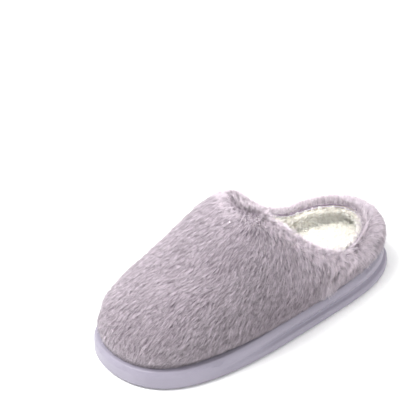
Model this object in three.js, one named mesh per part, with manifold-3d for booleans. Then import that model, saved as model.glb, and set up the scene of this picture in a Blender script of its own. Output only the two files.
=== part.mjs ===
// A fluffy house slipper for the left foot. Millimetres, +Z up. The toe points towards -Y and the outer
// side of the foot faces +X. The origin is on the floor, under the middle of the sole.
//
// Every piece follows one footprint. "turn" walks round it: 0 at the toe, 1 at the heel by the outer
// side, 2 at the toe again by the inner side. The upper is a padded wall that rises from the footprint
// to the rim of the foot opening, rolls over and comes down again inside.
import * as THREE from "three";
import { mergeVertices } from "three/addons/utils/BufferGeometryUtils.js";
import Module from "manifold-3d";

const wasm = await Module();
wasm.setup();

// Air left between pieces that touch.
const GAP = 0.3;

// Footprint of the sole.
const SOLE_LENGTH = 270;
const BALL_WIDTH = 111;
const HEEL_WIDTH = 98;
const TOE_ROUNDING = 5.2; // a higher exponent is a blunter end
const HEEL_ROUNDING = 4.2;
const SIDE_ROUNDING = 2.1;
const CENTRE_SHIFT = 3.2; // the middle of the foot bows to the outer side
const TOE_SWING = 8; // and the toe swings back to the inner side
const HEEL_SWING = 4;
const BALL_PLACE = -0.4; // where each width is reached, as shares of the length from the middle
const HEEL_PLACE = 0.5;

// Sole unit.
const TOE_EDGE = 15.8; // height of the ledge that the upper rises from, at the toe
const BALL_EDGE = 18.5;
const WAIST_EDGE = 17.6;
const HEEL_EDGE = 21.5;
const CAVITY_FLOOR = 9;
const TIER_GROOVE_HEIGHT = 8.4; // the groove that splits the side into two tiers
const TIER_GROOVE_DEPTH = 5.4;
const TIER_GROOVE_MOUTH = 2.4;
const UPPER_TIER_INSET = 3;
const TIER_START = -0.3; // where the tiers begin and are full, as shares of the length from the middle
const TIER_FULL = 0;
const TREAD_DEPTH = 1.5;
const TREAD_WIDTH = 4;
const TREAD_PITCH = 14;
const TREAD_MARGIN = 14; // from the edge of the sole to the ends of the grooves

// Footbed and board.
const BOARD = 2;
const FOOTBED_FOAM = 9.5;
const FOOTBED_FLEECE = 4.6;

// Layers of the upper, from the outside in.
const FUR = 6;
const VAMP_PADDING = 3.4;
const HEEL_PADDING = 3.8;
const COUNTER = 1.2;
const FLEECE = 5;
const PADDING_START = -0.08; // where the vamp's padding gives way to the heel's, as shares of the length
const PADDING_FULL = 0.22;

// Shape of the upper.
const UPPER_INSET = 3; // its widest line, from the edge of the sole
const TUCK = 3; // how far it draws in from there down to the ledge
const TUCK_HEIGHT = 7.5;
const TUCK_EASE = 0.4; // how much less the fur's inner face draws in than its outer one
const SKIRT_STEP = 1.8; // how far the skirt in the cavity steps in from the tuck
const SKIRT = 2.4; // thickness of the fur's skirt
const THROAT_HEIGHT = 118;
const THROAT_SETBACK = 116; // from the tip of the toe to the front of the rim
const COLLAR_HEIGHT = 47;
const COLLAR_CROWN = 8; // how far the arch would rise above the collar if it were closed
const COLLAR_INSET = 8; // from the widest line of the heel to the rim, at the sides
const COLLAR_BACK_INSET = 12; // and at the back
const RIM_FRONT_ROUNDING = 1.8;
const RIM_BACK_ROUNDING = 2.2;
const RIM_FLARE = 3; // how much wider than the heel's own collar the opening is at its widest
const RIM_LAG = 1.5; // how much the walls of the toe fan out from the throat
const RIM_WIDEST = 0.6; // where the rim is widest, as a share of the way from the throat to the back
const CROWN = 2.5; // roundness of the arch over the foot
const ARCH_FALL_AHEAD = 12; // the arch falls from this far ahead of the throat
const ARCH_FALL_BEHIND = 96; // to this far behind it
const SEAM_ANGLE = 94; // where fur meets fleece on the rolled rim, in degrees from the outer face
const SEAM_TURN = 0.64; // where the vamp meets the heel band

const FOAM_ROLL = [30, 150]; // the part of the roll that the foam fills, in degrees

const THREAD = 1;
const SEAM_GAP = 0.5; // on each side of a thread that runs between two edges
const LABEL = { width: 9, height: 7, thickness: 1, turn: 0.455 };
const LABEL_THREAD = 0.6;

const VAMP_COLUMNS = 34;
const HEEL_COLUMNS = 20;
const UP_STEPS = Array.from({ length: 9 }, (_, i) => i / 8); // rows from the widest line to the rim

const VAMP_WALL = FUR + VAMP_PADDING + FLEECE + 2 * GAP;
const HEEL_WALL = FUR + HEEL_PADDING + COUNTER + FLEECE + 3 * GAP;
const { lerp, smoothstep, degToRad } = THREE.MathUtils;

// ---- Footprint ----

const centreLine = (t) => CENTRE_SHIFT - (t < 0 ? TOE_SWING : HEEL_SWING) * t * t;
const halfWidth = (t) => lerp(BALL_WIDTH, HEEL_WIDTH, smoothstep(t, BALL_PLACE, HEEL_PLACE)) / 2;
const endRounding = (t) => (t < 0 ? TOE_ROUNDING : HEEL_ROUNDING);
const signedPower = (x, power) => Math.sign(x) * Math.abs(x) ** power;

// The point of the footprint at an angle, drawn in from the edge of the sole by "inset".
function footprintAt(angle, inset) {
  const along = -Math.cos(angle);
  const t = signedPower(along, 2 / endRounding(along));
  const across = signedPower(Math.sin(angle), 2 / SIDE_ROUNDING);
  const x = centreLine(t) + across * (halfWidth(t) - inset);
  return new THREE.Vector2(x, t * (SOLE_LENGTH / 2 - inset));
}

// Angles that space the footprint's points evenly along its edge on each side of the foot.
function evenAngles(samples) {
  const lengths = [0];
  for (let i = 1; i <= samples; i++) {
    const a = footprintAt(((i - 1) / samples) * Math.PI, 0);
    const b = footprintAt((i / samples) * Math.PI, 0);
    lengths.push(lengths[i - 1] + a.distanceTo(b));
  }
  return lengths.map((length) => length / lengths[samples]);
}

const EVEN = evenAngles(400);

function angleOf(turn) {
  const side = ((turn % 2) + 2) % 2;
  const fraction = side <= 1 ? side : 2 - side;
  let i = 1;
  while (i < EVEN.length - 1 && EVEN[i] < fraction) i++;
  const share = (fraction - EVEN[i - 1]) / (EVEN[i] - EVEN[i - 1]);
  const angle = ((i - 1 + share) / (EVEN.length - 1)) * Math.PI;
  return side <= 1 ? angle : 2 * Math.PI - angle;
}

const plan = (turn, inset) => footprintAt(angleOf(turn), inset);

function level(turn, inset, z) {
  const p = plan(turn, inset);
  return new THREE.Vector3(p.x, p.y, z);
}

// A smooth curve of height against distance along the foot, through points of [share of length, height].
function heightCurve(stations) {
  const points = new THREE.SplineCurve(stations.map(([t, z]) => new THREE.Vector2(t, z))).getPoints(60);
  return (y) => {
    const t = y / SOLE_LENGTH;
    const next = points.findIndex((p) => p.x >= t);
    if (next <= 0) return points.at(next).y;
    const [a, b] = points.slice(next - 1, next + 1);
    return lerp(a.y, b.y, (t - a.x) / (b.x - a.x));
  };
}

const ledge = heightCurve([
  [-0.5, TOE_EDGE],
  [-0.4, lerp(TOE_EDGE, BALL_EDGE, 0.4)],
  [-0.22, BALL_EDGE],
  [0.16, WAIST_EDGE],
  [0.36, lerp(WAIST_EDGE, HEEL_EDGE, 0.6)],
  [0.5, HEEL_EDGE],
]);
const widestLine = (y) => ledge(y) + GAP + TUCK_HEIGHT;

// ---- Outer face of the upper ----

const THROAT_Y = THROAT_SETBACK - SOLE_LENGTH / 2;

// The ridge over the foot, seen from the side.
const ridge = heightCurve([
  [-0.5, 0.41 * THROAT_HEIGHT],
  [-0.4, 0.5 * THROAT_HEIGHT],
  [-0.24, 0.67 * THROAT_HEIGHT],
  [-0.12, 0.86 * THROAT_HEIGHT],
  [-0.03, THROAT_HEIGHT],
]);

// Height of the arch at its middle: the ridge in front of the throat, and behind it the crest of an
// arch that the foot opening cuts away, falling to the collar.
function archHeight(y) {
  const collar = COLLAR_HEIGHT + COLLAR_CROWN;
  return lerp(ridge(y), collar, smoothstep(y, THROAT_Y - ARCH_FALL_AHEAD, THROAT_Y + ARCH_FALL_BEHIND));
}

// Height of the upper's outer face over a point of the plan.
function domeHeight(x, y) {
  const t = y / (SOLE_LENGTH / 2 - UPPER_INSET);
  const across = Math.abs(x - centreLine(t)) / (halfWidth(t) - UPPER_INSET);
  const reach = Math.abs(t) ** endRounding(t) + across ** SIDE_ROUNDING;
  const base = widestLine(y);
  const rise = Math.max(0, 1 - reach ** (CROWN / SIDE_ROUNDING)) ** (1 / CROWN);
  return base + (archHeight(y) - base) * rise;
}

// The rim of the foot opening in plan.
function rimPlan(turn) {
  const side = ((turn % 2) + 2) % 2;
  const fraction = (side <= 1 ? side : 2 - side) ** RIM_LAG;
  const along = -Math.cos(fraction * Math.PI);
  const back = SOLE_LENGTH / 2 - UPPER_INSET - COLLAR_BACK_INSET;
  const widest = lerp(THROAT_Y, back, RIM_WIDEST);
  const y = widest + along * (along < 0 ? widest - THROAT_Y : back - widest);
  const reach = Math.sqrt(1 - Math.abs(along) ** (along < 0 ? RIM_FRONT_ROUNDING : RIM_BACK_ROUNDING));
  const half = HEEL_WIDTH / 2 - UPPER_INSET - COLLAR_INSET + RIM_FLARE;
  const x = centreLine(y / (SOLE_LENGTH / 2)) + (side <= 1 ? 1 : -1) * reach * half;
  return new THREE.Vector2(x, y);
}

const profiles = new Map();

// The outer face from the widest line to the rim, as a curve of even spacing.
function outerProfile(turn) {
  if (!profiles.has(turn)) {
    const foot = plan(turn, UPPER_INSET);
    const rim = rimPlan(turn);
    const points = [];
    for (let i = 0; i <= 40; i++) {
      const p = foot.clone().lerp(rim, 1 - Math.cos(((i / 40) * Math.PI) / 2));
      points.push(new THREE.Vector3(p.x, p.y, i ? domeHeight(p.x, p.y) : widestLine(p.y)));
    }
    profiles.set(turn, new THREE.CatmullRomCurve3(points, false, "centripetal"));
  }
  return profiles.get(turn);
}

// Outward normal, rim-ward tangent and place of the outer face.
function outerFrame(turn, v) {
  const place = outerProfile(turn).getPointAt(v);
  const up = outerProfile(turn).getTangentAt(v);
  const step = 0.01;
  const before = outerProfile(turn - step).getPointAt(v);
  const along = outerProfile(turn + step).getPointAt(v).sub(before).normalize();
  const normal = along.clone().cross(up).normalize();
  return { place, along, normal, up: normal.clone().cross(along).normalize() };
}

function wallThickness(turn) {
  const y = plan(turn, 0).y;
  return lerp(VAMP_WALL, HEEL_WALL, smoothstep(y / SOLE_LENGTH, PADDING_START, PADDING_FULL));
}

// A point in the wall, "depth" in from its outer face.
function wall(turn, v, depth) {
  const { place, normal } = outerFrame(turn, v);
  return place.addScaledVector(normal, -depth);
}

// The point at height z of the wall, or of the upright that carries it on down into the sole, "depth"
// in from its outer face.
function atHeight(turn, depth, z) {
  const rows = UP_STEPS.map((v) => wall(turn, v, depth));
  const next = rows.findIndex((row) => row.z > z);
  if (next <= 0) return rows[0].setZ(z);
  return rows[next - 1].lerp(rows[next], (z - rows[next - 1].z) / (rows[next].z - rows[next - 1].z));
}

// A point on the rolled rim: 0 degrees on the outer face, 180 on the inner one.
function roll(turn, degrees, depth) {
  const { place, normal, up } = outerFrame(turn, 1);
  const half = wallThickness(turn) / 2;
  const angle = degToRad(degrees);
  return place
    .addScaledVector(normal, (half - depth) * Math.cos(angle) - half)
    .addScaledVector(up, (half - depth) * Math.sin(angle));
}

// A point on the tucked part of the wall: share 0 on the ledge, 1 at the widest line.
function tuck(turn, share, depth) {
  const draw = TUCK * (1 - share) ** 2 * (1 - (TUCK_EASE * Math.min(depth, FUR)) / FUR);
  const y = plan(turn, UPPER_INSET).y;
  return level(turn, UPPER_INSET + draw + depth, ledge(y) + GAP + share * TUCK_HEIGHT);
}

// ---- Solids ----

const range = (count, make) => Array.from({ length: count + 1 }, (_, i) => make(i / count));

// Turns the faces round when a surface was wound inside out.
function facingOut(points, index) {
  let volume = 0;
  for (let i = 0; i < index.length; i += 3) {
    const [a, b, c] = [0, 1, 2].map((k) => points[index[i + k]]);
    volume += a.dot(b.clone().cross(c));
  }
  const faces = volume < 0 ? index.slice().reverse() : index;
  return new THREE.BufferGeometry().setFromPoints(points).setIndex(faces);
}

// Faces that close a ring: its two sides are zipped together from its first and last points, always
// by the shorter rung.
function zip(ring) {
  const faces = [];
  let low = 0;
  let high = ring.length - 1;
  while (high - low > 1) {
    const rungAbove = ring[low + 1].distanceTo(ring[high]);
    const rungBelow = ring[low].distanceTo(ring[high - 1]);
    if (rungAbove < rungBelow) faces.push([low, ++low, high]);
    else faces.push([low, high - 1, high--]);
  }
  return faces;
}

// Splits a four-sided face by its shorter diagonal.
function quad(points, a, b, c, d) {
  const split = points[a].distanceTo(points[c]) < points[b].distanceTo(points[d]);
  return split ? [a, b, c, a, c, d] : [b, c, d, b, d, a];
}

// Joins closed rings of equal size. A looped solid joins its last ring to its first; any other has its
// two ends closed.
function joinRings(rings, looped = false) {
  const size = rings[0].length;
  const steps = looped ? rings.length : rings.length - 1;
  const index = [];
  const points = rings.flat();
  for (let i = 0; i < steps; i++) {
    const here = i * size;
    const next = ((i + 1) % rings.length) * size;
    for (let k = 0; k < size; k++) {
      const m = (k + 1) % size;
      index.push(...quad(points, here + k, next + k, next + m, here + m));
    }
  }
  if (!looped) {
    const last = steps * size;
    index.push(...zip(rings[0]).flat());
    index.push(...zip(rings[steps]).flatMap((face) => face.reverse().map((k) => last + k)));
  }
  return facingOut(points, index);
}

// Half of the slot between the vamp and the heel band, in turns, wide enough for its thread at the rim.
function seamSlot() {
  const step = 0.01;
  const stride = rimPlan(SEAM_TURN - step).distanceTo(rimPlan(SEAM_TURN + step)) / (2 * step);
  return (THREAD / 2 + SEAM_GAP) / stride;
}

// Columns of the upper. Pieces that run all round share them, so that their facets lie side by side.
const VAMP_END = SEAM_TURN - seamSlot();
const HEEL_START = SEAM_TURN + seamSlot();
const VAMP_TURNS = range(VAMP_COLUMNS, (share) => lerp(-VAMP_END, VAMP_END, share));
const HEEL_TURNS = range(HEEL_COLUMNS, (share) => lerp(HEEL_START, 2 - HEEL_START, share));
const ALL_TURNS = [...VAMP_TURNS, ...HEEL_TURNS];

// A solid stacked from closed outlines; each level gives a point for a turn.
const stack = (levels) => joinRings(levels.map((at) => ALL_TURNS.map(at)));

// A thread of round section along a path of frames { place, side, out }.
function tube(frames, diameter, looped = false) {
  const sides = 6;
  const rings = frames.map(({ place, side, out }) =>
    range(sides, (share) => {
      const angle = 2 * Math.PI * share;
      return place
        .clone()
        .addScaledVector(side, (Math.cos(angle) * diameter) / 2)
        .addScaledVector(out, (Math.sin(angle) * diameter) / 2);
    }).slice(0, -1),
  );
  return joinRings(rings, looped);
}

function bareGeometry(geometry) {
  const bare = new THREE.BufferGeometry().setAttribute("position", geometry.attributes.position);
  return mergeVertices(bare.setIndex(geometry.index), 1e-4);
}

function solidOf(geometry) {
  const merged = bareGeometry(geometry);
  const triVerts = new Uint32Array(merged.index.array);
  const vertProperties = merged.attributes.position.array;
  return new wasm.Manifold(new wasm.Mesh({ numProp: 3, vertProperties, triVerts }));
}

function geometryOf(solid) {
  const { vertProperties, triVerts } = solid.getMesh();
  return new THREE.BufferGeometry()
    .setAttribute("position", new THREE.BufferAttribute(vertProperties, 3))
    .setIndex(new THREE.BufferAttribute(triVerts, 1));
}

// ---- Sole ----

const SKIRT_INSET = UPPER_INSET + TUCK + SKIRT_STEP;
const SKIRT_BOTTOM = CAVITY_FLOOR + GAP;
const BOARD_TOP = SKIRT_BOTTOM + BOARD;
const FOAM_TOP = BOARD_TOP + GAP + FOOTBED_FOAM;
const FOOTBED_TOP = FOAM_TOP + GAP + FOOTBED_FLEECE;

// How fully the side is split into two tiers: not at all at the toe, fully at the heel.
const tiers = (y) => smoothstep(y / SOLE_LENGTH, TIER_START, TIER_FULL);

// A level of the sole whose inset grows with the tiers and whose height is given from the floor, or
// from the ledge where "below" is set.
function soleLevel(inset, tierInset, z, below = false) {
  return (turn) => {
    const { y } = plan(turn, inset);
    return level(turn, inset + tierInset * tiers(y), below ? ledge(y) - z : z);
  };
}

function makeOutsole() {
  const cup = stack([
    soleLevel(3.5, 0, 0),
    soleLevel(1, 0, 1.2),
    soleLevel(0, 0, 3),
    soleLevel(0, 0.3, TIER_GROOVE_HEIGHT - TIER_GROOVE_MOUTH),
    soleLevel(0, 1.2, TIER_GROOVE_HEIGHT - TIER_GROOVE_MOUTH / 2),
    soleLevel(0, TIER_GROOVE_DEPTH, TIER_GROOVE_HEIGHT),
    soleLevel(0, UPPER_TIER_INSET + 1.2, TIER_GROOVE_HEIGHT + TIER_GROOVE_MOUTH / 2),
    soleLevel(0, UPPER_TIER_INSET, TIER_GROOVE_HEIGHT + 1.4 * TIER_GROOVE_MOUTH),
    soleLevel(0.2, UPPER_TIER_INSET, 4.5, true),
    soleLevel(0.8, UPPER_TIER_INSET + 0.6, 1.8, true),
    soleLevel(2, UPPER_TIER_INSET + 1.4, 0, true),
    soleLevel(SKIRT_INSET - GAP, 0, 0, true),
    soleLevel(SKIRT_INSET - GAP, 0, CAVITY_FLOOR),
  ]);
  let solid = solidOf(cup);
  for (const groove of makeTreadGrooves()) solid = solid.subtract(solidOf(groove));
  return geometryOf(solid);
}

// Straight grooves across the underside that stop short of its edge.
function makeTreadGrooves() {
  const grooves = [];
  const reach = SOLE_LENGTH / 2 - TREAD_MARGIN - TREAD_WIDTH;
  const count = Math.floor(reach / TREAD_PITCH - 0.5);
  for (let i = -count - 1; i <= count; i++) {
    const y = (i + 0.5) * TREAD_PITCH;
    const t = y / (SOLE_LENGTH / 2);
    const narrowing = (1 - Math.abs(t) ** endRounding(t)) ** (1 / SIDE_ROUNDING);
    const length = 2 * (halfWidth(t) * narrowing - TREAD_MARGIN);
    const groove = new THREE.BoxGeometry(length, TREAD_WIDTH, 2 * TREAD_DEPTH);
    grooves.push(groove.translate(centreLine(t), y, 0));
  }
  return grooves;
}

// A level of a piece that lies inside the lining, drawn in from it by a gap and "inset".
const innerLevel = (inset, z) => (turn) => atHeight(turn, wallThickness(turn) + GAP + inset, z);

const makeBoard = () => stack([innerLevel(0, SKIRT_BOTTOM), innerLevel(0, BOARD_TOP)]);

// The foam's lower edge is rebated to clear the board's thread.
function makeFootbedFoam() {
  const rebate = THREAD + 2 * GAP;
  return stack([
    innerLevel(rebate, BOARD_TOP + GAP),
    innerLevel(rebate, BOARD_TOP + GAP + rebate),
    innerLevel(0, BOARD_TOP + 2 * GAP + rebate),
    innerLevel(0, FOAM_TOP),
  ]);
}

function makeFootbedCover() {
  const rounding = 1.6;
  return stack([
    innerLevel(0, FOAM_TOP + GAP),
    innerLevel(0, FOOTBED_TOP - rounding),
    innerLevel(rounding / 3, FOOTBED_TOP - rounding / 3),
    innerLevel(rounding, FOOTBED_TOP),
  ]);
}

// ---- Upper ----

const DOWN_STEPS = UP_STEPS.slice().reverse();
const THREAD_DEPTH = 2.5; // of the topline thread, under the face of the roll

// Half of the slot that a thread needs between two edges, as an angle of the roll.
function seamMargin(turn) {
  const radius = wallThickness(turn) / 2 - THREAD_DEPTH;
  return THREE.MathUtils.radToDeg((THREAD / 2 + SEAM_GAP) / radius);
}

const rollRow = (turn, from, to, depth, steps) =>
  range(steps, (share) => roll(turn, lerp(from, to, share), depth));

function furSection(turn) {
  const end = SEAM_ANGLE - seamMargin(turn);
  const lip = tuck(turn, 0, 0).z;
  return [
    level(turn, SKIRT_INSET, SKIRT_BOTTOM),
    level(turn, SKIRT_INSET, lip),
    ...[0, 0.3, 0.65].map((share) => tuck(turn, share, 0)),
    ...UP_STEPS.map((v) => wall(turn, v, 0)),
    ...rollRow(turn, 0, end, 0, 5).slice(1),
    ...rollRow(turn, end, 0, FUR, 3),
    ...DOWN_STEPS.slice(1).map((v) => wall(turn, v, FUR)),
    ...[0.5, 0].map((share) => tuck(turn, share, FUR)),
    level(turn, SKIRT_INSET + SKIRT, SKIRT_BOTTOM),
  ];
}

function fleeceSection(turn) {
  const start = SEAM_ANGLE + seamMargin(turn);
  const thickness = wallThickness(turn);
  return [
    atHeight(turn, thickness - FLEECE, SKIRT_BOTTOM),
    ...UP_STEPS.map((v) => wall(turn, v, thickness - FLEECE)),
    ...rollRow(turn, 180, start, FLEECE, 2).slice(1),
    ...rollRow(turn, start, 180, 0, 3),
    ...DOWN_STEPS.slice(1).map((v) => wall(turn, v, thickness)),
    atHeight(turn, thickness, SKIRT_BOTTOM),
  ];
}

// "backing" is what stands between the foam and the fleece.
function foamSection(turn, backing) {
  const inside = wallThickness(turn) - FLEECE - GAP - backing;
  return [
    ...[0, 0.5].map((share) => tuck(turn, share, FUR + GAP)),
    ...UP_STEPS.map((v) => wall(turn, v, FUR + GAP)),
    ...rollRow(turn, ...FOAM_ROLL, FUR + GAP, 3),
    ...DOWN_STEPS.slice(1).map((v) => wall(turn, v, inside)),
    atHeight(turn, inside, tuck(turn, 0, 0).z),
  ];
}

function counterSection(turn) {
  const outside = wallThickness(turn) - FLEECE - GAP - COUNTER;
  const rows = UP_STEPS.slice(0, -2);
  return [
    atHeight(turn, outside, SKIRT_BOTTOM),
    ...rows.map((v) => wall(turn, v, outside)),
    ...rows.reverse().map((v) => wall(turn, v, outside + COUNTER)),
    atHeight(turn, outside + COUNTER, SKIRT_BOTTOM),
  ];
}

const COUNTER_TURNS = HEEL_TURNS.slice(3, -3);

const panel = (turns, section) => joinRings(turns.map(section));

// ---- Threads and label ----

// The frame of a thread that crosses the roll at an angle.
function rollFrame(turn, degrees, depth) {
  const { along, normal, up } = outerFrame(turn, 1);
  const angle = degToRad(degrees);
  const out = normal.clone().multiplyScalar(Math.cos(angle)).addScaledVector(up, Math.sin(angle));
  return { place: roll(turn, degrees, depth), along, out, side: along.clone().cross(out) };
}

function makeToplineThread() {
  const frames = ALL_TURNS.map((turn) => rollFrame(turn, SEAM_ANGLE, THREAD_DEPTH));
  return tube(frames, THREAD, true);
}

function makeSideSeamThread(turn) {
  const up = UP_STEPS.map((v) => {
    const { along, normal } = outerFrame(turn, v);
    return { place: wall(turn, v, FUR / 2), side: along, out: normal };
  });
  const stop = SEAM_ANGLE - 2 * seamMargin(turn);
  const over = range(3, (share) => {
    const { place, along, out } = rollFrame(turn, share * stop, FUR / 2);
    return { place, side: along, out };
  });
  return tube([...up, ...over.slice(1)], THREAD);
}

// The overlock thread on the edge of the board, in the rebate of the foam.
function makeBoardThread() {
  const inset = GAP + THREAD / 2;
  const z = BOARD_TOP + GAP + THREAD / 2;
  const frames = ALL_TURNS.map((turn) => {
    const place = innerLevel(inset, z)(turn);
    const side = innerLevel(inset - 1, z)(turn).sub(place).normalize();
    return { place, side, out: new THREE.Vector3(0, 0, 1) };
  });
  return tube(frames, THREAD, true);
}

// Places a flat piece on the seam of the rim: x along the seam, y across it, z out of the roll.
function onRim(geometry, across, out) {
  const frame = rollFrame(LABEL.turn, SEAM_ANGLE, 0);
  const basis = new THREE.Matrix4().makeBasis(frame.along, frame.out.clone().cross(frame.along), frame.out);
  basis.setPosition(frame.place.addScaledVector(frame.out, GAP));
  return geometry.translate(0, across, out).applyMatrix4(basis);
}

function makeLabel() {
  const { width, thickness, height } = LABEL;
  return onRim(new THREE.BoxGeometry(width, thickness, height), 0, height / 2 + GAP);
}

function makeLabelThread() {
  const radius = LABEL_THREAD / 2;
  const stitch = new THREE.CylinderGeometry(radius, radius, LABEL.width - 2, 6).rotateZ(Math.PI / 2);
  return onRim(stitch, LABEL.thickness / 2 + GAP + radius, 3 * GAP + radius);
}

// ---- Assembly ----

const MATERIALS = {
  fur: { color: "#a99ca9", roughness: 0.95 },
  fleece: { color: "#f1ece0", roughness: 1 },
  foam: { color: "#e6dcc0", roughness: 0.9 },
  sole: { color: "#b9b1c7", roughness: 0.5 },
  board: { color: "#cdb792", roughness: 0.85 },
  counter: { color: "#dcdcdc", roughness: 0.8 },
  thread: { color: "#b3a7b5", roughness: 0.7 },
  label: { color: "#f4f4f6", roughness: 0.6 },
};

const slipper = new THREE.Group();

function add(name, material, geometry) {
  const look = new THREE.MeshStandardMaterial({ ...MATERIALS[material], metalness: 0 });
  const mesh = new THREE.Mesh(geometry, look);
  mesh.name = name;
  slipper.add(mesh);
}

add("outsole", "sole", makeOutsole());
add("strobel_board", "board", makeBoard());
add("footbed_foam", "foam", makeFootbedFoam());
add("footbed_cover", "fleece", makeFootbedCover());
add("vamp_outer", "fur", panel(VAMP_TURNS, furSection));
add("heel_band_outer", "fur", panel(HEEL_TURNS, furSection));
add("vamp_foam", "foam", panel(VAMP_TURNS, (turn) => foamSection(turn, 0)));
add("heel_band_foam", "foam", panel(HEEL_TURNS, (turn) => foamSection(turn, COUNTER + GAP)));
add("vamp_lining", "fleece", panel(VAMP_TURNS, fleeceSection));
add("heel_band_lining", "fleece", panel(HEEL_TURNS, fleeceSection));
add("heel_counter", "counter", panel(COUNTER_TURNS, counterSection));
add("topline_thread", "thread", makeToplineThread());
add("side_seam_thread_outer", "thread", makeSideSeamThread(SEAM_TURN));
add("side_seam_thread_inner", "thread", makeSideSeamThread(2 - SEAM_TURN));
add("strobel_thread", "thread", makeBoardThread());
add("size_label", "label", makeLabel());
add("label_thread", "thread", makeLabelThread());

// The origin sits under the middle of the sole's own box.
const box = new THREE.Box3().setFromObject(slipper);
slipper.position.set(-(box.min.x + box.max.x) / 2, -(box.min.y + box.max.y) / 2, -box.min.z);

export default slipper;
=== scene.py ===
"""A fluffy house slipper: fur over a padded upper, a fleece lining and footbed, a moulded foam sole.

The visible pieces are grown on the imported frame. Each fabric is a smooth skin made from its CAD node, and
its pile is a mesh of tapered strands that leave the skin, lie along it and gather in tufts.
"""

import math

import bpy
import numpy as np
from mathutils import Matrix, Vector, noise
from mathutils.bvhtree import BVHTree
from mathutils.kdtree import KDTree


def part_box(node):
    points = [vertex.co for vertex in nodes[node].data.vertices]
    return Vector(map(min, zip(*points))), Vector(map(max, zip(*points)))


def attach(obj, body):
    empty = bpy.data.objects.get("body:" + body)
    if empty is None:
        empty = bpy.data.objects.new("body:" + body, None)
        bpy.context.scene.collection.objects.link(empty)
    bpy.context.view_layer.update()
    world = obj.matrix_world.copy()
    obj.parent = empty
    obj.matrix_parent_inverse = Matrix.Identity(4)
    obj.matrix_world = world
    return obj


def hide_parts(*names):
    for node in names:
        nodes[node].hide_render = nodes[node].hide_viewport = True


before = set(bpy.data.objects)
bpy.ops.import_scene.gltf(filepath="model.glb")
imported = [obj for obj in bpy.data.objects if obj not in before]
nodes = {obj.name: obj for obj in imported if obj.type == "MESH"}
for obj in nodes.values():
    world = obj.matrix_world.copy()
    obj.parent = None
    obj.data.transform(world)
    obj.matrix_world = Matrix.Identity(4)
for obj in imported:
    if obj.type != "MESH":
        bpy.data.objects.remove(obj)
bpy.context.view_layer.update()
MM = 0.001
scene = bpy.context.scene
rng = np.random.default_rng(7)


# ---- Helpers ----


def smoothstep(x, low, high):
    t = np.clip((x - low) / (high - low), 0, 1)
    return t * t * (3 - 2 * t)


def unit(v):
    return v / np.maximum(np.linalg.norm(v, axis=-1, keepdims=True), 1e-12)


def vertices_of(mesh):
    found = np.empty(len(mesh.vertices) * 3)
    mesh.vertices.foreach_get("co", found)
    return found.reshape(-1, 3)


def normals_of(mesh):
    found = np.empty(len(mesh.vertices) * 3)
    mesh.vertices.foreach_get("normal", found)
    return found.reshape(-1, 3)


def triangles_of(mesh):
    mesh.calc_loop_triangles()
    found = np.empty(len(mesh.loop_triangles) * 3, np.int32)
    mesh.loop_triangles.foreach_get("vertices", found)
    return found.reshape(-1, 3)


def tree_of(names):
    """A tree for finding the nearest point on some CAD nodes."""
    points, faces, start = [], [], 0
    for name in names:
        mesh = nodes[name].data
        points.append(vertices_of(mesh))
        faces.append(triangles_of(mesh) + start)
        start += len(points[-1])
    return BVHTree.FromPolygons(np.vstack(points).tolist(), np.vstack(faces).tolist())


def distances(tree, points):
    return np.array([tree.find_nearest(p)[3] for p in points])


def field(points, size, offset=0.0):
    """Smooth noise from -1 to 1 whose features are about this size."""
    return np.array([noise.noise(Vector(p / size) + Vector((offset, 0, 0))) for p in points])


def apply_modifiers(piece):
    mesh = bpy.data.meshes.new_from_object(piece.evaluated_get(bpy.context.evaluated_depsgraph_get()))
    piece.modifiers.clear()
    piece.data = mesh
    mesh.name = piece.name


def remeshed(name, node, voxel, rounds):
    """A smooth copy of a CAD node."""
    piece = bpy.data.objects.new(name, nodes[node].data.copy())
    scene.collection.objects.link(piece)
    remesh = piece.modifiers.new("remesh", "REMESH")
    remesh.mode = "VOXEL"
    remesh.voxel_size = voxel
    smooth = piece.modifiers.new("smooth", "SMOOTH")
    smooth.iterations = rounds
    smooth.factor = 0.5
    apply_modifiers(piece)
    piece.data.shade_smooth()
    return piece


def reshape(piece, points, look):
    """Moves the vertices to these points and gives the piece one material."""
    piece.data.vertices.foreach_set("co", points.astype(np.float32).ravel())
    piece.data.update()
    piece.data.materials.clear()
    piece.data.materials.append(look)


def put(piece, slot, *replaced):
    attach(piece, "root")
    if replaced:
        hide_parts(*replaced)
    return piece


# ---- Materials ----


def material(name, **values):
    made = bpy.data.materials.new(name)
    made.use_nodes = True
    shader = made.node_tree.nodes["Principled BSDF"]
    for socket, value in values.items():
        shader.inputs[socket.replace("_", " ")].default_value = value
    return made, made.node_tree, shader


def linear(r, g, b):
    """A colour from its 0 to 255 values."""
    return tuple(((c / 255 + 0.055) / 1.055) ** 2.4 for c in (r, g, b)) + (1.0,)


def ramp(tree, factor, stops):
    made = tree.nodes.new("ShaderNodeValToRGB")
    elements = made.color_ramp.elements
    while len(elements) < len(stops):
        elements.new(0.5)
    for element, (place, colour) in zip(elements, stops):
        element.position = place
        element.color = colour
    tree.links.new(factor, made.inputs["Fac"])
    return made.outputs["Color"]


def multiplied(tree, a, b):
    made = tree.nodes.new("ShaderNodeMix")
    made.data_type = "RGBA"
    made.blend_type = "MULTIPLY"
    made.inputs["Factor"].default_value = 1
    tree.links.new(a, made.inputs["A"])
    tree.links.new(b, made.inputs["B"])
    return made.outputs["Result"]


def noise_texture(tree, scale, detail=3.0, roughness=0.5):
    made = tree.nodes.new("ShaderNodeTexNoise")
    made.inputs["Scale"].default_value = scale
    made.inputs["Detail"].default_value = detail
    made.inputs["Roughness"].default_value = roughness
    place = tree.nodes.new("ShaderNodeTexCoord")
    tree.links.new(place.outputs["Object"], made.inputs["Vector"])
    return made.outputs["Fac"]


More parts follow.
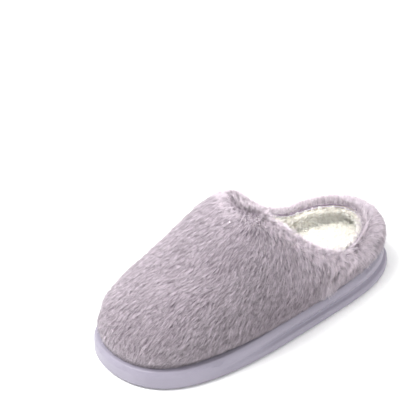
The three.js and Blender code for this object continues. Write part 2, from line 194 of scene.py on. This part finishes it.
def bump(tree, shader, height, distance, strength=1.0):
    made = tree.nodes.new("ShaderNodeBump")
    made.inputs["Distance"].default_value = distance
    made.inputs["Strength"].default_value = strength
    tree.links.new(height, made.inputs["Height"])
    tree.links.new(made.outputs["Normal"], shader.inputs["Normal"])


def attribute(tree, name):
    made = tree.nodes.new("ShaderNodeAttribute")
    made.attribute_name = name
    return made.outputs["Fac"]


def pile_material(name, root, middle, tip, dark, light, sheen):
    """Colour by how far along its strand a point is, times the strand's tone. The darker root colour is
    painted shade deep in the pile, and the fur's tone carries painted shade and painted light as well as its
    own variation.
    """
    made, tree, shader = material(name, Roughness=0.85, Sheen_Weight=sheen, Sheen_Roughness=0.5)
    shader.inputs["Specular IOR Level"].default_value = 0.2
    along = ramp(tree, attribute(tree, "pile"), [(0.0, root), (0.5, middle), (1.0, tip)])
    tone = ramp(tree, attribute(tree, "tone"), [(0.0, dark), (1.0, light)])
    tree.links.new(multiplied(tree, along, tone), shader.inputs["Base Color"])
    return made


def cloth_material(name, low, high, scale, depth):
    """A fabric ground with a fine uneven knit."""
    made, tree, shader = material(name, Roughness=0.9, Sheen_Weight=0.2)
    shader.inputs["Specular IOR Level"].default_value = 0.2
    fine = noise_texture(tree, scale)
    tree.links.new(ramp(tree, fine, [(0.3, low), (0.7, high)]), shader.inputs["Base Color"])
    bump(tree, shader, fine, depth)
    return made


# The fur's dark root colour is painted shade deep in the pile.
FUR = pile_material(
    "fur_pile",
    linear(112, 98, 111),
    linear(200, 188, 198),
    linear(234, 224, 231),
    (0.58, 0.56, 0.58, 1),
    (1.16, 1.16, 1.16, 1),
    0.3,
)
# The fur's ground is darker than its pile, as painted shade under the pile.
FUR_GROUND = cloth_material("fur_ground", linear(138, 124, 137), linear(164, 151, 163), 900, 0.0004)
# The fleece's slightly darker root colour is painted shade in the pile.
FLEECE = pile_material(
    "fleece_pile",
    linear(244, 239, 226),
    linear(251, 249, 242),
    linear(254, 253, 250),
    (0.94, 0.935, 0.92, 1),
    (1.0, 1.0, 1.0, 1),
    0.4,
)
FLEECE_GROUND = cloth_material("fleece_ground", linear(246, 241, 230), linear(253, 250, 243), 700, 0.0006)


def sole_material():
    made, tree, shader = material("moulded_foam", Sheen_Weight=0.08)
    shader.inputs["Specular IOR Level"].default_value = 0.45
    cloud = noise_texture(tree, 28, 2.0)
    colour = ramp(tree, cloud, [(0.25, linear(137, 132, 146)), (0.75, linear(145, 140, 154))])
    tree.links.new(colour, shader.inputs["Base Color"])
    gloss = ramp(tree, noise_texture(tree, 90), [(0.3, (0.4, 0.4, 0.4, 1)), (0.7, (0.52, 0.52, 0.52, 1))])
    tree.links.new(gloss, shader.inputs["Roughness"])
    bump(tree, shader, noise_texture(tree, 1400, 2.0), 0.00008, 0.6)
    return made


def plain_stuff(name, low, high, scale, rough, depth):
    made, tree, shader = material(name, Roughness=rough)
    grain = noise_texture(tree, scale)
    tree.links.new(ramp(tree, grain, [(0.3, low), (0.7, high)]), shader.inputs["Base Color"])
    bump(tree, shader, grain, depth)
    return made


SOLE = sole_material()
FOAM = plain_stuff("open_cell_foam", linear(214, 203, 172), linear(236, 228, 204), 1200, 0.95, 0.0005)
BOARD = plain_stuff("fibre_board", linear(188, 168, 130), linear(214, 198, 162), 1600, 0.9, 0.0002)
COUNTER = plain_stuff("stiffener", linear(208, 208, 208), linear(226, 226, 226), 500, 0.7, 0.0001)


def wound_material(name, low, high, turns, rough):
    """Fine parallel yarns, as on sewing thread or ribbon."""
    made, tree, shader = material(name, Roughness=rough, Sheen_Weight=0.3)
    wave = tree.nodes.new("ShaderNodeTexWave")
    wave.bands_direction = "DIAGONAL"
    wave.inputs["Scale"].default_value = turns
    wave.inputs["Distortion"].default_value = 0.6
    place = tree.nodes.new("ShaderNodeTexCoord")
    tree.links.new(place.outputs["Object"], wave.inputs["Vector"])
    tree.links.new(ramp(tree, wave.outputs["Fac"], [(0.0, low), (1.0, high)]), shader.inputs["Base Color"])
    bump(tree, shader, wave.outputs["Fac"], 0.0001)
    return made


THREAD = wound_material("sewing_thread", linear(186, 176, 188), linear(208, 199, 210), 700, 0.6)
SATIN = wound_material("label_satin", linear(228, 230, 238), linear(250, 250, 253), 500, 0.35)


# ---- Pile ----


def sampled(mesh, faces_kept, spacing):
    """Points about this far apart over some triangles of a mesh, with their normals."""
    points, normals, triangles = vertices_of(mesh), normals_of(mesh), triangles_of(mesh)
    triangles = triangles[faces_kept(points[triangles].mean(axis=1), unit(normals[triangles].mean(axis=1)))]
    a, b, c = (points[triangles[:, k]] for k in range(3))
    areas = np.linalg.norm(np.cross(b - a, c - a), axis=1) / 2
    count = int(areas.sum() / spacing**2)
    picks = np.searchsorted(np.cumsum(areas), (np.arange(count) + rng.random(count)) / count * areas.sum())
    picks = np.minimum(picks, len(triangles) - 1)
    u, v = rng.random(count), rng.random(count)
    fold = u + v > 1
    u[fold], v[fold] = 1 - u[fold], 1 - v[fold]
    weights = np.stack([1 - u - v, u, v], axis=1)[:, :, None]
    corners = triangles[picks]
    return (points[corners] * weights).sum(axis=1), unit((normals[corners] * weights).sum(axis=1))


def tufts(points, size):
    """For each strand, the one that leads its tuft. Tufts have about this many strands."""
    heads = rng.permutation(len(points))[: max(1, int(len(points) / size))]
    tree = KDTree(len(heads))
    for i, k in enumerate(heads):
        tree.insert(points[k], i)
    tree.balance()
    return heads[np.array([tree.find(p)[1] for p in points])]


def strands(name, points, normals, flow, height, length, radius, heads, pull, tone, root_shade, most=19000):
    """Pieces of tapered strands. Each leaves its skin along the normal, lies down along its flow and leans
    towards the head of its tuft."""
    side = unit(np.cross(normals, flow))
    tips = points + normals * height[:, None] + flow * length[:, None]
    tips += (tips[heads] - tips) * pull[:, None]
    lean = tips - points
    rise = (lean * normals).sum(axis=1, keepdims=True) * normals
    run = lean - rise
    shares = [0.0, 0.5]
    rings = []
    for share in shares:
        centre = points + rise * math.sin(share * 0.5 * math.pi) ** 0.9 + run * share**1.25
        rings.append((centre, radius * (1 - 0.5 * share)))
    made = []
    for start in range(0, len(points), most):
        part = slice(start, start + most)
        own_name = f"{name}_{len(made) + 1}"
        made.append(strand_piece(own_name, rings, tips, side, normals, part, tone, root_shade, shares))
    return made


def strand_piece(name, rings, tips, side, normals, part, tone, root_shade, shares):
    count = len(tips[part])
    corners = [(math.cos(2 * math.pi * k / 3), math.sin(2 * math.pi * k / 3)) for k in range(3)]
    columns = []
    for centre, radius in rings:
        for across, out in corners:
            offset = side[part] * across + normals[part] * out
            columns.append(centre[part] + offset * radius[part][:, None])
    columns.append(tips[part])
    size = len(columns)
    points = np.stack(columns, axis=1).reshape(-1, 3)
    quads = []
    for ring in range(len(rings) - 1):
        for k in range(3):
            m = (k + 1) % 3
            quads.append([3 * ring + k, 3 * ring + m, 3 * ring + 3 + m, 3 * ring + 3 + k])
    last = 3 * (len(rings) - 1)
    ends = [[0, 2, 1]] + [[last + k, last + (k + 1) % 3, size - 1] for k in range(3)]
    starts = (np.arange(count) * size)[:, None, None]
    quads = (np.array(quads)[None] + starts).reshape(-1, 4)
    ends = (np.array(ends)[None] + starts).reshape(-1, 3)
    mesh = bpy.data.meshes.new(name)
    loops = np.concatenate([quads.ravel(), ends.ravel()])
    mesh.vertices.add(len(points))
    mesh.vertices.foreach_set("co", points.astype(np.float32).ravel())
    mesh.loops.add(len(loops))
    mesh.loops.foreach_set("vertex_index", loops.astype(np.int32))
    mesh.polygons.add(len(quads) + len(ends))
    sizes = np.concatenate([np.full(len(quads), 4), np.full(len(ends), 3)])
    mesh.polygons.foreach_set("loop_start", (np.cumsum(sizes) - sizes).astype(np.int32))
    mesh.update(calc_edges=True)
    along = np.tile(np.concatenate([np.repeat(shares, 3), [1.0]]), count)
    # How much of the darker root colour, painted shade in the pile, each strand shows.
    along = 1 - (1 - along) * np.repeat(root_shade[part], size)
    own = np.repeat(tone[part], size)
    for label, values in (("pile", along), ("tone", own)):
        made = mesh.attributes.new(label, "FLOAT", "POINT")
        made.data.foreach_set("value", values.astype(np.float32))
    spread = np.tile(np.array([-1, 0, 1] * len(rings) + [0]) * 0.006, count)
    flat = np.stack([0.02 + 0.96 * np.clip(own + spread, 0, 1), 0.02 + 0.96 * along], axis=1)[loops]
    layer = mesh.uv_layers.new(name="OFBake", do_init=False)
    layer.uv.foreach_set("vector", flat.astype(np.float32).ravel())
    mesh.shade_smooth()
    piece = bpy.data.objects.new(name, mesh)
    scene.collection.objects.link(piece)
    return piece


def turned(flow, normals, angle):
    """The flow turned about the normals."""
    side = np.cross(normals, flow)
    return flow * np.cos(angle)[:, None] + side * np.sin(angle)[:, None]


def laid(direction, normals):
    """A direction pressed flat onto the surface."""
    return unit(direction - (direction * normals).sum(axis=1, keepdims=True) * normals)


# ---- Sole ----


def smooth_round(mesh, rounds):
    """Smooths the sides along the level edges only, so that their height-wise shape stays crisp."""
    edges = np.empty(len(mesh.edges) * 2, np.int32)
    mesh.edges.foreach_get("vertices", edges)
    edges = edges.reshape(-1, 2)
    points, normals = vertices_of(mesh), normals_of(mesh)
    way = points[edges[:, 1]] - points[edges[:, 0]]
    steep = np.abs(way[:, 2]) / np.maximum(np.linalg.norm(way, axis=1), 1e-9)
    side = 1 - smoothstep(np.abs(normals[:, 2]), 0.75, 0.95)
    weights = (1 - steep) ** 4 * side[edges].min(axis=1)
    count = len(points)
    total = sum(np.bincount(edges[:, k], weights, count) for k in range(2)) + 1e-6
    for _ in range(rounds):
        for axis in range(2):
            values = points[:, axis]
            pulled = np.bincount(edges[:, 0], weights * values[edges[:, 1]], count)
            pulled += np.bincount(edges[:, 1], weights * values[edges[:, 0]], count)
            points[:, axis] = values + 0.5 * side * (pulled / total - values) * (total > 1e-3)
    mesh.vertices.foreach_set("co", points.astype(np.float32).ravel())
    mesh.update()


outsole = remeshed("outsole_moulded", "outsole", 0.75 * MM, 1)
smooth_round(outsole.data, 60)
outsole.data.materials.clear()
outsole.data.materials.append(SOLE)
put(outsole, "sole_foam", "outsole")

# ---- Fur ----

SKIN_VOXEL = 1.6 * MM
FUR_SPACING = 0.52 * MM
FUR_SKIN_DEPTH = 2.8 * MM  # the visible face of the skin lies this deep, under its pile
FUR_HEIGHT = 3.0  # how far a strand's tip stands off the skin, in mm, before the changes from place to place
FUR_LENGTH = 6.0  # how far it runs along the skin, in mm, likewise
FUR_RADIUS = 0.16 * MM
FUR_TUFT = 5  # strands in a tuft
FUR_PULL = 0.34  # how far a strand's tip leans to its tuft
FUR_STARTS_AT = 15 * MM
FROM_THE_SOLE = 1.2 * MM
FROM_THE_LINING = 0.6 * MM
LABEL_ROOM = 0.8 * MM

topline = KDTree(len(nodes["topline_thread"].data.vertices))
for i, p in enumerate(vertices_of(nodes["topline_thread"].data)):
    topline.insert(p, i)
topline.balance()

inner_layers = tree_of(["vamp_foam", "heel_band_foam", "vamp_lining", "heel_band_lining"])
side_seams = tree_of(["side_seam_thread_outer", "side_seam_thread_inner"])
sole_tree = tree_of(["outsole"])
label_low, label_high = (np.array(corner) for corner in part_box("size_label"))


def from_topline(points):
    """The way from the nearest point of the topline, and how far it is."""
    nearest = np.array([topline.find(p)[0] for p in points])
    away = points - nearest
    return away, np.linalg.norm(away, axis=1)


def clear_of_label(points, room):
    low, high = label_low - room, label_high + room
    return ~((points > low) & (points < high)).all(axis=1)


def fur_skin(name, node):
    """The knitted ground of the fur. Its outer face is drawn in, because the pile fills the rest."""
    skin = remeshed(name, node, SKIN_VOXEL, 8)
    points, normals = vertices_of(skin.data), normals_of(skin.data)
    outer = smoothstep(distances(inner_layers, points), 1.5 * MM, 5 * MM)
    seen = smoothstep(points[:, 2], 14 * MM, 22 * MM)
    points -= normals * (outer * seen * FUR_SKIN_DEPTH)[:, None]
    reshape(skin, points, FUR_GROUND)
    return skin


def grow_fur(name, skin, spacing):
    def kept(places, normals):
        out = distances(inner_layers, places) > FROM_THE_LINING
        above = distances(sole_tree, places) > FROM_THE_SOLE
        inner = np.array([inner_layers.find_nearest(p)[0] for p in places])
        facing = ((places - inner) * normals).sum(axis=1) > 0
        return out & above & facing & (places[:, 2] > FUR_STARTS_AT)

    points, normals = sampled(skin.data, kept, spacing)
    clear = clear_of_label(points, LABEL_ROOM)
    points, normals = points[clear], normals[clear]
    count = len(points)
    away, distance = from_topline(points)
    rim = 1 - smoothstep(distance + 3 * MM * field(points, 12 * MM, 4.0), 10 * MM, 15 * MM)
    seam = 1 - smoothstep(distances(side_seams, points), 3 * MM, 7 * MM)
    toward_toe = smoothstep(-points[:, 1], -20 * MM, 60 * MM)[:, None]
    down = np.array([0.0, 0.0, -1.0])
    along_foot = unit(away * [1, 1, 0]) * (1 - toward_toe) + np.array([0.0, -1.0, 0.0]) * toward_toe
    flow = unit(along_foot + 0.75 * down) * (1 - rim)[:, None] + unit(away) * rim[:, None]
    flow = laid(flow, normals)
    swirl = 0.4 * field(points, 26 * MM) + 0.14 * field(points, 7 * MM, 9.0)
    flow = turned(flow, normals, swirl + 0.14 * rng.standard_normal(count))
    low = 1 - smoothstep(points[:, 2], 20 * MM, 31 * MM)
    crest = 1 - smoothstep(distance, 3 * MM, 8 * MM)
    size = 1 + 0.16 * rng.standard_normal(count).clip(-2, 2)
    heel_crest = crest * smoothstep(points[:, 1], 40 * MM, 70 * MM)
    stand = FUR_HEIGHT + 1.0 * rim + 2.0 * crest + 1.2 * heel_crest - 1.5 * low + 1.0 * seam
    run = FUR_LENGTH - 2.4 * rim - 2.2 * crest - 3.0 * low + 2.0 * seam
    height, length = stand * size * MM, run * size * MM
    from_label = np.linalg.norm(points - (label_low + label_high) / 2, axis=1)
    at_label = 1 - smoothstep(from_label, 6 * MM, 10 * MM)
    height, length = height * (1 - 0.55 * at_label), length * (1 - 0.4 * at_label)
    heads = tufts(points, FUR_TUFT)
    own = rng.standard_normal(count).clip(-2, 2)
    tuft_rise = 1 + 0.16 * own[heads] * (1 - low)
    height, length = height * tuft_rise, length * tuft_rise
    # The tone paints shade and light: it darkens the fur low on the upper, as painted shade, and lightens it
    # along the rim, as painted light. It is also lighter near the side seams, and the noise, tuft and strand
    # terms vary the colour itself.
    shade = 1 - smoothstep(points[:, 2], 24 * MM, 60 * MM)
    tone = 0.36 + 0.44 * rim + 0.12 * seam - 0.22 * shade
    tone += 0.08 * field(points, 9 * MM, 3.0) + 0.2 * own[heads] + 0.22 * own
    pull = FUR_PULL * (1 - 0.5 * rim)
    radius = np.full(count, FUR_RADIUS)
    # Less painted shade at the roots along the rim, the crest and the side seams.
    root_shade = 1 - 0.6 * rim - 0.25 * crest - 0.3 * seam * (1 - rim)
    made = strands(name, points, normals, flow, height, length, radius, heads, pull, tone.clip(0, 1), root_shade)
    for piece in made:
        piece.data.materials.append(FUR)
        put(piece, "faux_fur")
    return made


PADDING = ["vamp_foam", "heel_band_foam"]
spread = 1.0
for name, node, flat, area in (
    ("fur_vamp", "vamp_outer", (0.26, 0.20), 0.036),
    ("fur_heel_band", "heel_band_outer", (0.035, 0.25), None),
):
    skin = put(fur_skin(name + "_ground", node), "faux_fur", node)
    pile = grow_fur(name + "_pile", skin, FUR_SPACING * spread)

# ---- Fleece ----

LINING_PILE = {
    "spacing": 0.8 * MM * spread,
    "height": 2.8 * MM,
    "length": 2.8 * MM,
    "radius": 0.36 * MM,
    "tuft": 7,
    "most_turn": 1.1,
    "pull": 0.5,
}
FOOTBED_PILE = {
    "spacing": 0.85 * MM * spread,
    "height": 2.0 * MM,
    "length": 2.4 * MM,
    "radius": 0.3 * MM,
    "tuft": 5,
    "most_turn": 1.6,
    "pull": 0.4,
}


def grow_fleece(name, skin, kept, spacing, height, length, radius, tuft, most_turn, pull):
    points, normals = sampled(skin.data, kept, spacing)
    clear = clear_of_label(points, 2.5 * MM)
    points, normals = points[clear], normals[clear]
    away, distance = from_topline(points)
    crest = 1 - smoothstep(distance, 5 * MM, 10 * MM)
    down = laid(np.array([[0.0, 0.0, -1.0]]) + 0.6 * unit(rng.standard_normal((len(points), 3))), normals)
    swirl = most_turn * (field(points, 9 * MM) + 0.6 * field(points, 4 * MM, 5.0))
    flow = turned(down, normals, swirl * 2)
    flow = laid(flow * (1 - crest)[:, None] - 1.5 * unit(away) * crest[:, None], normals)
    size = 1 + 0.22 * rng.standard_normal(len(points)).clip(-2, 2)
    length = length * (1 - 0.3 * crest)
    tone = 0.5 + 0.3 * field(points, 14 * MM, 2.0) + 0.15 * rng.standard_normal(len(points))
    made = strands(
        name,
        points,
        normals,
        flow,
        height * size,
        length * size,
        np.full(len(points), radius),
        tufts(points, tuft),
        np.full(len(points), pull),
        tone.clip(0, 1),
        np.full(len(points), 1.0),
    )
    for piece in made:
        piece.data.materials.append(FLEECE)
        put(piece, "fleece")
    return made


foams = tree_of(PADDING)
footbed_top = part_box("footbed_cover")[1].z


def lining_kept(places, normals):
    """The face of the lining that looks into the slipper, where an eye can reach it."""
    out = distances(foams, places) > 2.2 * MM
    above = places[:, 2] > footbed_top - 1.5 * MM
    back = places[:, 1] > -55 * MM
    return out & above & back


for name, node, flat, area in (
    ("fleece_vamp", "vamp_lining", (0.22, 0.18), 0.03),
    ("fleece_heel_band", "heel_band_lining", (0.026, 0.22), None),
):
    skin = remeshed(name + "_ground", node, SKIN_VOXEL, 6)
    points, normals = vertices_of(skin.data), normals_of(skin.data)
    inner = smoothstep(distances(foams, points), 2 * MM, 4.5 * MM)
    points -= normals * (inner * 1.8 * MM)[:, None]
    reshape(skin, points, FLEECE_GROUND)
    put(skin, "fleece", node)
    pile = grow_fleece(name + "_pile", skin, lining_kept, **LINING_PILE)

cover = remeshed("fleece_footbed_ground", "footbed_cover", 1.4 * MM, 6)
points, normals = vertices_of(cover.data), normals_of(cover.data)
top = smoothstep(normals[:, 2], 0.0, 0.7)
points[:, 2] -= top * 1.2 * MM
points[:, 2] += top * 0.5 * MM * field(points, 22 * MM)
reshape(cover, points, FLEECE_GROUND)
put(cover, "fleece", "footbed_cover")


def footbed_kept(places, normals):
    return (normals[:, 2] > 0.4) & (places[:, 1] > -70 * MM)


grow_fleece("fleece_footbed_pile", cover, footbed_kept, **FOOTBED_PILE)

# ---- Label ----

label = bpy.data.objects.new("label_satin", nodes["size_label"].data.copy())
scene.collection.objects.link(label)
bevel = label.modifiers.new("bevel", "BEVEL")
bevel.width = 0.25 * MM
bevel.segments = 2
split = label.modifiers.new("split", "SUBSURF")
split.subdivision_type = "SIMPLE"
split.levels = 3
apply_modifiers(label)
points = vertices_of(label.data)
centre = points.mean(axis=0)
axes = np.linalg.svd(points - centre, full_matrices=False)[2]
local = (points - centre) @ axes.T
local[:, 2] += 0.5 * MM * np.sin(local[:, 0] / (2.4 * MM)) + 0.3 * MM * np.sin(local[:, 1] / (1.6 * MM))
reshape(label, local @ axes + centre, SATIN)
label.data.shade_smooth()
put(label, "label_satin", "size_label")

# ---- Pieces carried over from the frame ----

for node, look in {
    "strobel_board": BOARD,
    "footbed_foam": FOAM,
    "vamp_foam": FOAM,
    "heel_band_foam": FOAM,
    "heel_counter": COUNTER,
    "topline_thread": THREAD,
    "side_seam_thread_outer": THREAD,
    "side_seam_thread_inner": THREAD,
    "strobel_thread": THREAD,
    "label_thread": THREAD,
}.items():
    nodes[node].data.materials.clear()
    nodes[node].data.materials.append(look)

# ---- Floor, light and camera ----

floor_mesh = bpy.data.meshes.new("floor")
half = 6.0
floor_corners = [(-half, -half, 0), (half, -half, 0), (half, half, 0), (-half, half, 0)]
floor_mesh.from_pydata(floor_corners, [], [(0, 1, 2, 3)])
floor = bpy.data.objects.new("floor", floor_mesh)
scene.collection.objects.link(floor)
floor_look, _, floor_shader = material("pale_floor", Roughness=0.7)
floor_shader.inputs["Base Color"].default_value = (0.93, 0.93, 0.93, 1)
floor_mesh.materials.append(floor_look)

world = bpy.data.worlds.new("studio")
world.use_nodes = True
world.node_tree.nodes["Background"].inputs["Color"].default_value = (1, 1, 1, 1)
world.node_tree.nodes["Background"].inputs["Strength"].default_value = 1.0
scene.world = world
scene.view_settings.view_transform = "Standard"

middle = Vector((0, 0, 0.04))
azimuth, elevation, range_m = math.radians(50), math.radians(38), 1.70
right = Vector((math.cos(azimuth), math.sin(azimuth), 0))
level = math.cos(elevation)
toward = Vector((math.sin(azimuth) * level, -math.cos(azimuth) * level, math.sin(elevation)))
up = toward.cross(right)
aim = middle - 0.034 * right + 0.046 * up


def area_light(name, place, size, power, target=middle, spread_angle=180):
    data = bpy.data.lights.new(name, "AREA")
    data.size = size
    data.energy = power
    data.spread = math.radians(spread_angle)
    light = bpy.data.objects.new(name, data)
    scene.collection.objects.link(light)
    light.location = place
    light.rotation_euler = (target - Vector(place)).to_track_quat("-Z", "Y").to_euler()


area_light("key", middle - 0.9 * right + Vector((0, 0, 1.5)) + 0.2 * toward, 1.0, 44)
area_light("fill", middle + 1.2 * right + Vector((0, 0, 0.9)) + 0.6 * toward, 1.4, 4)
opening = Vector((-0.012, 0.075, 0.036))  # over the heel of the footbed
area_light("opening", opening + 1.0 * toward + Vector((0, 0, 0.25)), 0.06, 0.022, opening, 8)

camera = bpy.data.objects.new("camera", bpy.data.cameras.new("camera"))
scene.collection.objects.link(camera)
camera.data.sensor_width = 36
camera.data.lens = 188
camera.location = middle + range_m * toward
camera.rotation_euler = (aim - camera.location).to_track_quat("-Z", "Y").to_euler()
scene.camera = camera
